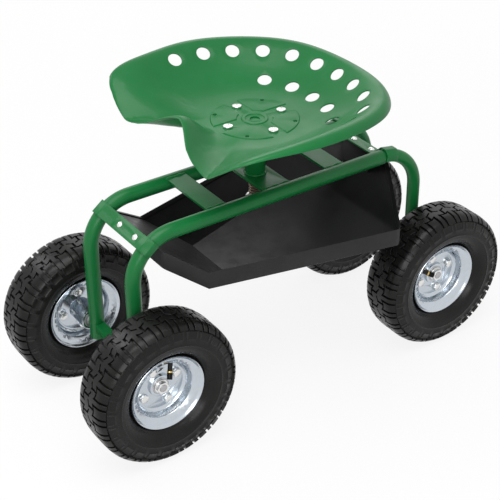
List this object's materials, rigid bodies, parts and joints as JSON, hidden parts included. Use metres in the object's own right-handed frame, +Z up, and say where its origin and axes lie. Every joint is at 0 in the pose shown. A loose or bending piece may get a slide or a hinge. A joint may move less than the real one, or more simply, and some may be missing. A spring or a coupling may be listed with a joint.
{
  "type": "rolling garden seat",
  "caption": "Low four-wheeled garden work seat: a pressed metal pan that swivels and screws up and down, on a bent tube frame with a moulded tool tray and pneumatic tyres.",
  "frame": {"origin": "on the ground, midway between the four wheels", "axes": "+Z up; -X the front, the way the seat faces; +Y the sitter's right"},
  "size_m": [0.82, 0.437, 0.5193],
  "materials": {
    "green_paint": "gloss",
    "black_plastic": "satin",
    "tyre": "matt",
    "tube_rubber": "matt",
    "cap_plastic": "satin",
    "zinc": "bright zinc plate",
    "bolt_zinc": "zinc plate",
    "bearing_steel": "polished",
    "axle_steel": "plain",
    "screw_steel": "oiled"
  },
  "bodies": {
    "frame": {"left_rail": "green_paint", "right_rail": "green_paint", "left_rear_leg": "green_paint", "right_rear_leg": "green_paint", "front_end_strap": "green_paint", "rear_end_strap": "green_paint", "front_cross_strap": "green_paint", "rear_cross_strap": "green_paint", "seat_plate": "green_paint", "post_socket": "green_paint", "front_axle_beam": "green_paint", "rear_axle_beam": "green_paint", "front_axle": "axle_steel", "rear_axle": "axle_steel", "axle_spacers": "axle_steel", "axle_washers": "bolt_zinc", "axle_lock_nuts": "bolt_zinc", "tool_tray": "black_plastic", "tray_bolts": "bolt_zinc", "tray_nuts": "bolt_zinc"},
    "lift": {"stop_washer": "bolt_zinc"},
    "seat": {"seat_pan": "green_paint", "seat_mount_plate": "green_paint", "seat_bolts": "bolt_zinc", "seat_nuts": "bolt_zinc", "screw_post": "screw_steel", "stop_bolt": "bolt_zinc"},
    "front_left_wheel": {"front_left_tyre": "tyre", "front_left_inner_tube": "tube_rubber", "front_left_valve_cap": "cap_plastic", "front_left_rim_outer": "zinc", "front_left_rim_inner": "zinc", "front_left_hub": "zinc", "front_left_bearings": "bearing_steel", "front_left_rim_bolts": "bolt_zinc"},
    "front_right_wheel": {"front_right_tyre": "tyre", "front_right_inner_tube": "tube_rubber", "front_right_valve_cap": "cap_plastic", "front_right_rim_outer": "zinc", "front_right_rim_inner": "zinc", "front_right_hub": "zinc", "front_right_bearings": "bearing_steel", "front_right_rim_bolts": "bolt_zinc"},
    "rear_left_wheel": {"rear_left_tyre": "tyre", "rear_left_inner_tube": "tube_rubber", "rear_left_valve_cap": "cap_plastic", "rear_left_rim_outer": "zinc", "rear_left_rim_inner": "zinc", "rear_left_hub": "zinc", "rear_left_bearings": "bearing_steel", "rear_left_rim_bolts": "bolt_zinc"},
    "rear_right_wheel": {"rear_right_tyre": "tyre", "rear_right_inner_tube": "tube_rubber", "rear_right_valve_cap": "cap_plastic", "rear_right_rim_outer": "zinc", "rear_right_rim_inner": "zinc", "rear_right_hub": "zinc", "rear_right_bearings": "bearing_steel", "rear_right_rim_bolts": "bolt_zinc"}
  },
  "joints": [
    {"name": "seat_lift", "type": "slide", "parent": "frame", "child": "lift", "axis": [0, 0, 1], "range_m": [-0.0201, 0.0401]},
    {"name": "seat_swivel", "type": "hinge", "parent": "lift", "child": "seat", "pos_m": [-0.006, 0, 0.4], "axis": [0, 0, 1], "range_deg": [-1440, 2880]},
    {"name": "front_left_spin", "type": "hinge", "parent": "frame", "child": "front_left_wheel", "pos_m": [-0.283, -0.13375, 0.127], "axis": [0, 1, 0], "continuous": true},
    {"name": "front_right_spin", "type": "hinge", "parent": "frame", "child": "front_right_wheel", "pos_m": [-0.283, 0.13375, 0.127], "axis": [0, 1, 0], "continuous": true},
    {"name": "rear_left_spin", "type": "hinge", "parent": "frame", "child": "rear_left_wheel", "pos_m": [0.283, -0.13375, 0.127], "axis": [0, 1, 0], "continuous": true},
    {"name": "rear_right_spin", "type": "hinge", "parent": "frame", "child": "rear_right_wheel", "pos_m": [0.283, 0.13375, 0.127], "axis": [0, 1, 0], "continuous": true}
  ],
  "couplings": [
    {"joint": "seat_lift", "follows": "seat_swivel", "m_per_rad": 0.00079577}
  ]
}
